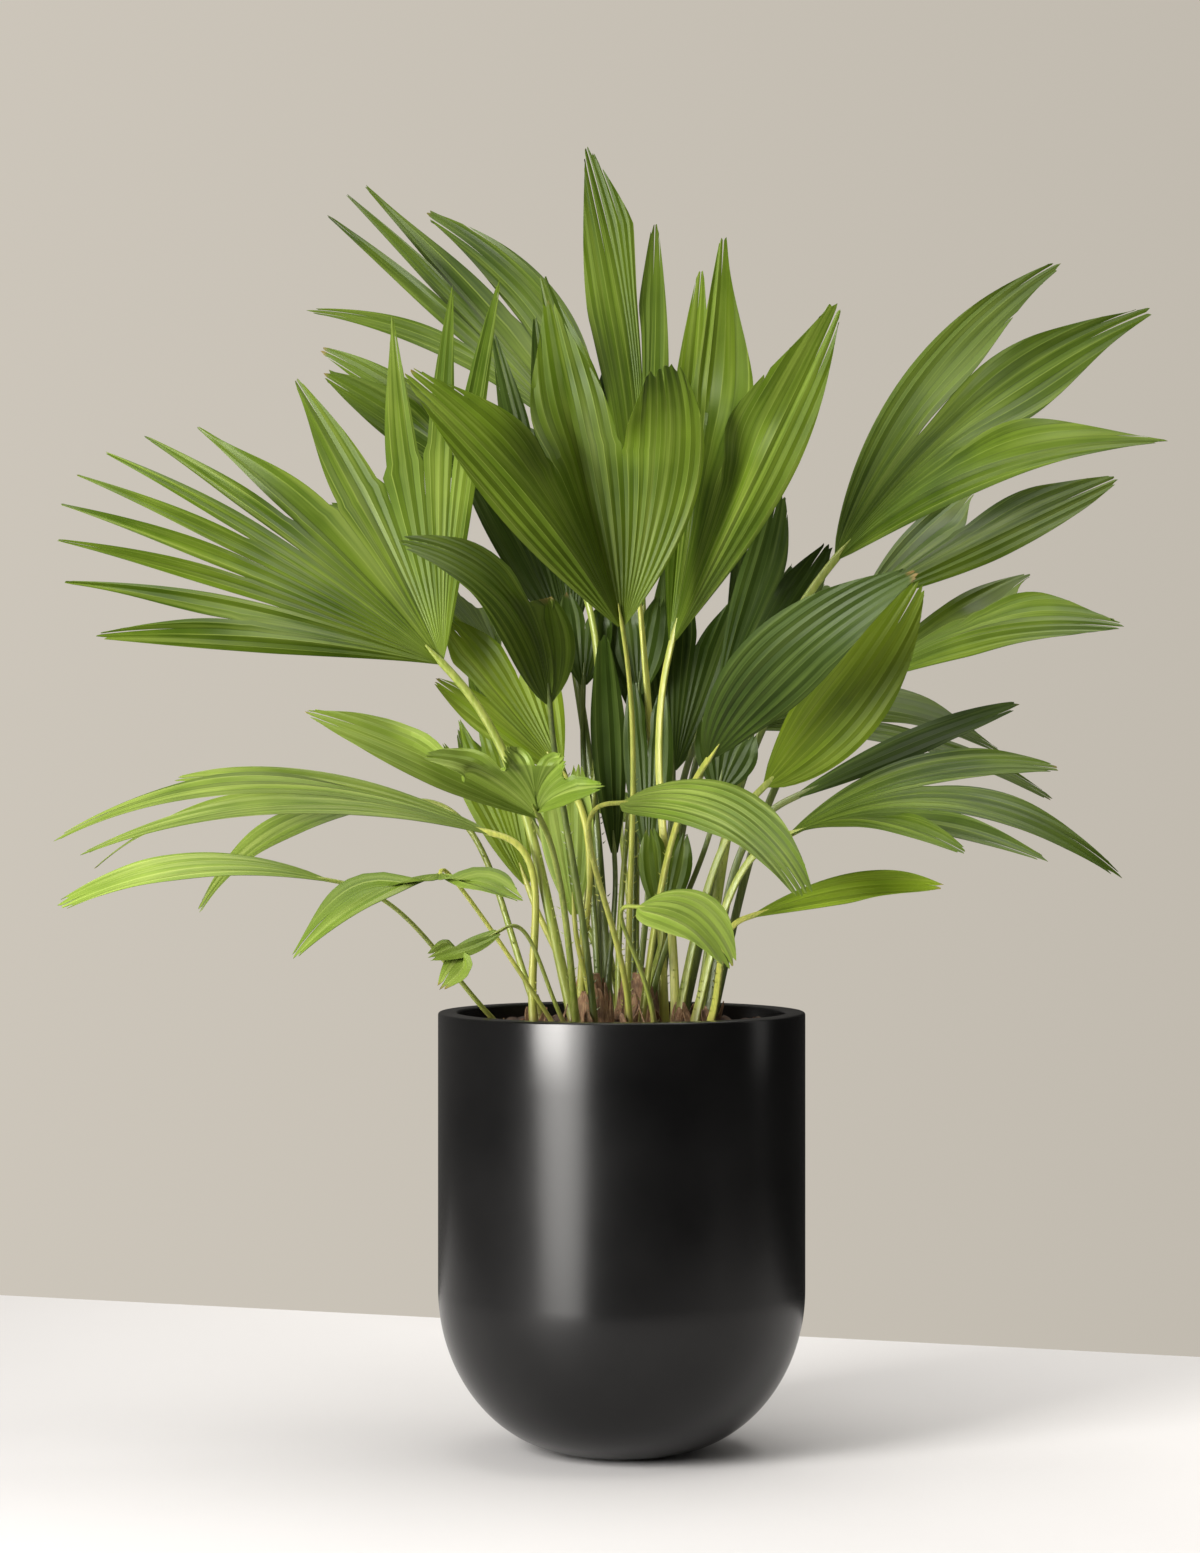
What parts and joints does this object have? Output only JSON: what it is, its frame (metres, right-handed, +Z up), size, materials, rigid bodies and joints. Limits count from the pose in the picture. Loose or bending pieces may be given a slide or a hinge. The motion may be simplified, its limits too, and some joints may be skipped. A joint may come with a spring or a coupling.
{
  "type": "potted chinese fan palm",
  "caption": "Chinese fan palm with pleated, finger-cut fan leaves on long thin stalks, growing from soil in a black round-bottomed planter.",
  "frame": {"origin": "centre of the flat underside of the pot, on the surface it stands on", "axes": "+Z up along the pot's axis, -Y towards the front that the picture shows, +X to the right of that view"},
  "size_m": [1.0538, 0.8295, 1.2822],
  "materials": {
    "pot": "satin black",
    "soil": "loose bark and peat",
    "stalk": "smooth yellow-green",
    "leaf_light": "waxy",
    "leaf_mid": "waxy",
    "leaf_dark": "waxy"
  },
  "bodies": {
    "root": {"pot": "pot", "soil": "soil", "stalk_01": "stalk", "stalk_02": "stalk", "stalk_03": "stalk", "stalk_04": "stalk", "stalk_05": "stalk", "stalk_06": "stalk", "stalk_07": "stalk", "stalk_08": "stalk", "stalk_09": "stalk", "stalk_10": "stalk", "stalk_11": "stalk", "stalk_12": "stalk", "stalk_13": "stalk", "stalk_14": "stalk", "stalk_15": "stalk", "stalk_16": "stalk", "stalk_17": "stalk", "stalk_18": "stalk", "stalk_19": "stalk", "stalk_20": "stalk", "stalk_21": "stalk", "stalk_22": "stalk", "stalk_23": "stalk", "stalks_back": "stalk", "frond_01": "leaf_mid", "frond_02": "leaf_mid", "frond_03": "leaf_mid", "frond_04": "leaf_mid", "frond_05": "leaf_dark", "frond_06": "leaf_dark", "frond_07": "leaf_mid", "frond_08": "leaf_mid", "frond_09": "leaf_dark", "frond_10": "leaf_light", "frond_11": "leaf_mid", "frond_12": "leaf_light", "frond_13": "leaf_mid", "frond_14": "leaf_light", "frond_15": "leaf_dark", "frond_16": "leaf_mid", "frond_17": "leaf_light", "frond_18": "leaf_light", "frond_19": "leaf_light", "frond_20": "leaf_light", "frond_21": "leaf_light", "frond_22": "leaf_light", "frond_23": "leaf_mid", "frond_24": "leaf_mid", "frond_25": "leaf_dark", "frond_26": "leaf_dark", "frond_27": "leaf_mid", "frond_28": "leaf_mid", "frond_29": "leaf_mid", "frond_30": "leaf_light", "frond_31": "leaf_dark", "frond_32": "leaf_mid", "fronds_inner_left": "leaf_mid", "fronds_inner_right": "leaf_mid"}
  },
  "joints": []
}
